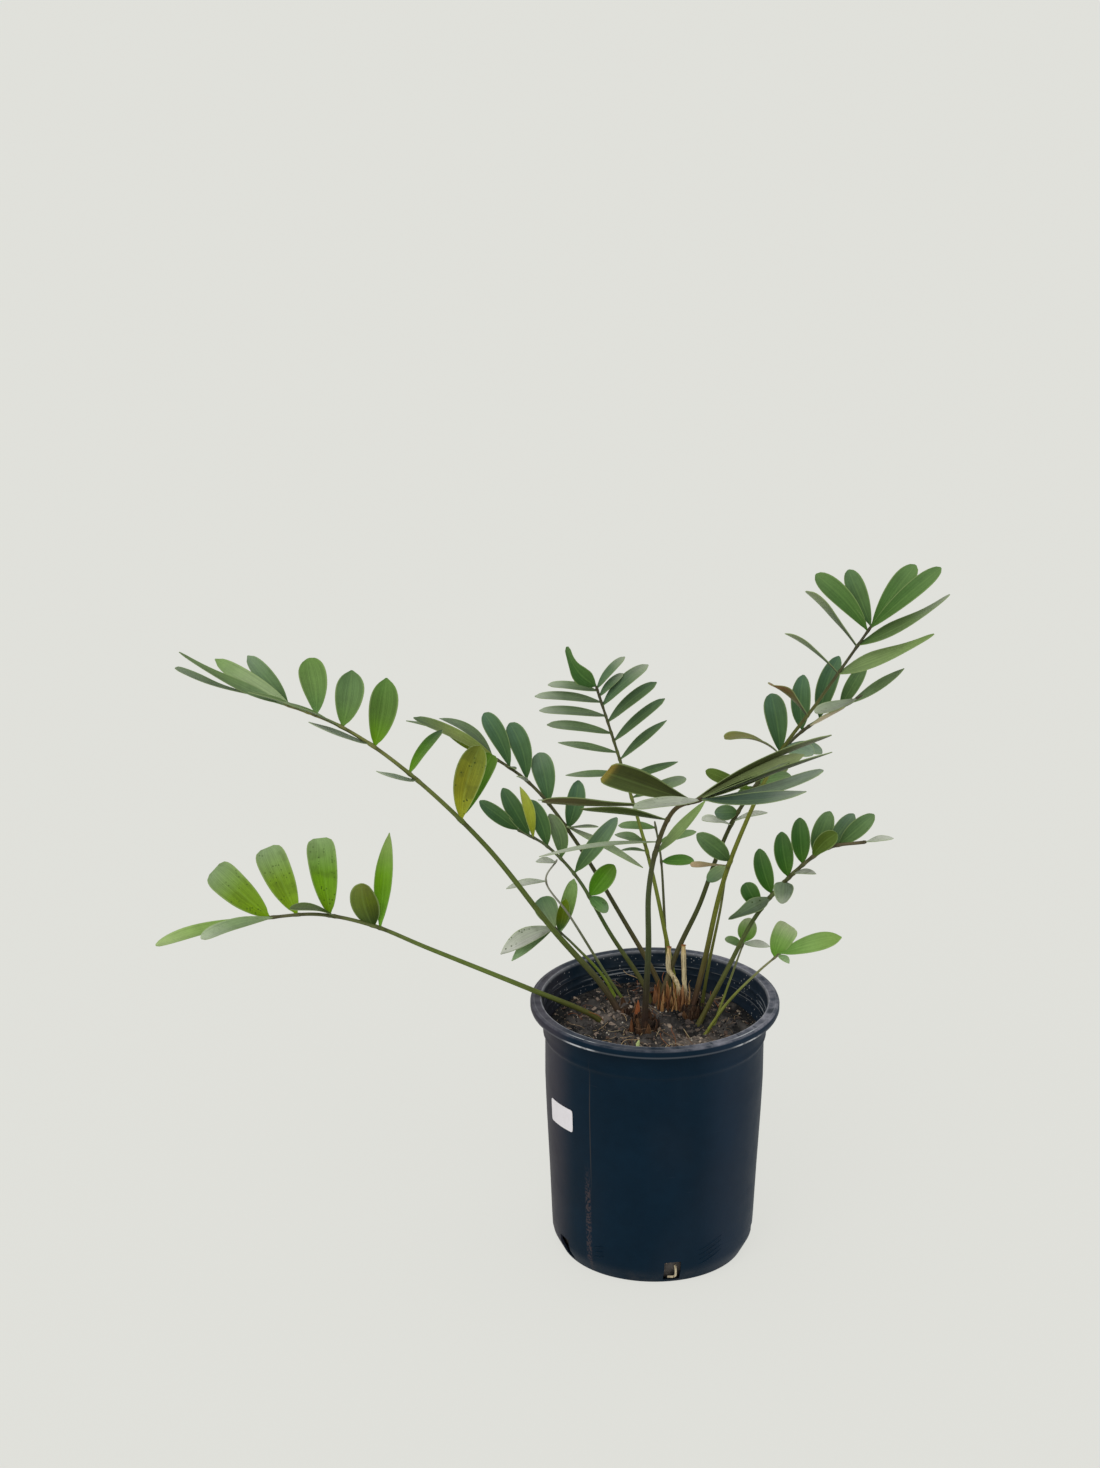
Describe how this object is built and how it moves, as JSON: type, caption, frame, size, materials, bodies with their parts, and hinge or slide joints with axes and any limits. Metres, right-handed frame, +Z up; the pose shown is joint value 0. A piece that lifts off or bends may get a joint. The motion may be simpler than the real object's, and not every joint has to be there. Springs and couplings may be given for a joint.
{
  "type": "potted cardboard palm",
  "caption": "Cardboard palm with stiff pinnate fronds of paddle-shaped leaflets, growing from a mound of potting mix in a round black nursery pot with a rolled rim.",
  "frame": {"origin": "middle of the pot's flat underside, on the surface it stands on", "axes": "+Z up, +X to the right and -Y towards the viewer who faces the plant's front"},
  "size_m": [0.7722, 0.3136, 0.7155],
  "materials": {
    "pot_plastic": "satin black moulded plastic with scuffs on the rim",
    "potting_mix": "dark crumbly mix with bark chips and white perlite",
    "label_paper": "plain white sticker",
    "crown_bark": "rough brown trunk with old leaf bases",
    "dry_stalk": "dry straw-coloured stump",
    "dry_bract": "papery orange-brown bract",
    "frond_green": "leathery green leaf with faint parallel veins"
  },
  "bodies": {
    "root": {"nursery_pot": "pot_plastic", "potting_mix": "potting_mix", "price_label": "label_paper", "crown_front": "crown_bark", "crown_left": "crown_bark", "crown_back": "crown_bark", "crown_right": "crown_bark", "cut_stub_a": "dry_stalk", "cut_stub_b": "dry_stalk", "bract_front_left": "dry_bract", "bract_front": "dry_bract", "bract_back_left": "dry_bract", "bract_back": "dry_bract", "bract_right": "dry_bract", "frond_low_left": "frond_green", "frond_upper_left": "frond_green", "frond_left_middle": "frond_green", "frond_left_inner": "frond_green", "frond_left_small": "frond_green", "frond_left_thin": "frond_green", "frond_back_tall": "frond_green", "frond_back_thin": "frond_green", "frond_front": "frond_green", "frond_right_tall": "frond_green", "frond_right_second": "frond_green", "frond_right_thin": "frond_green", "frond_right_low": "frond_green", "frond_right_sprig": "frond_green", "frond_right_bud": "frond_green"}
  },
  "joints": []
}
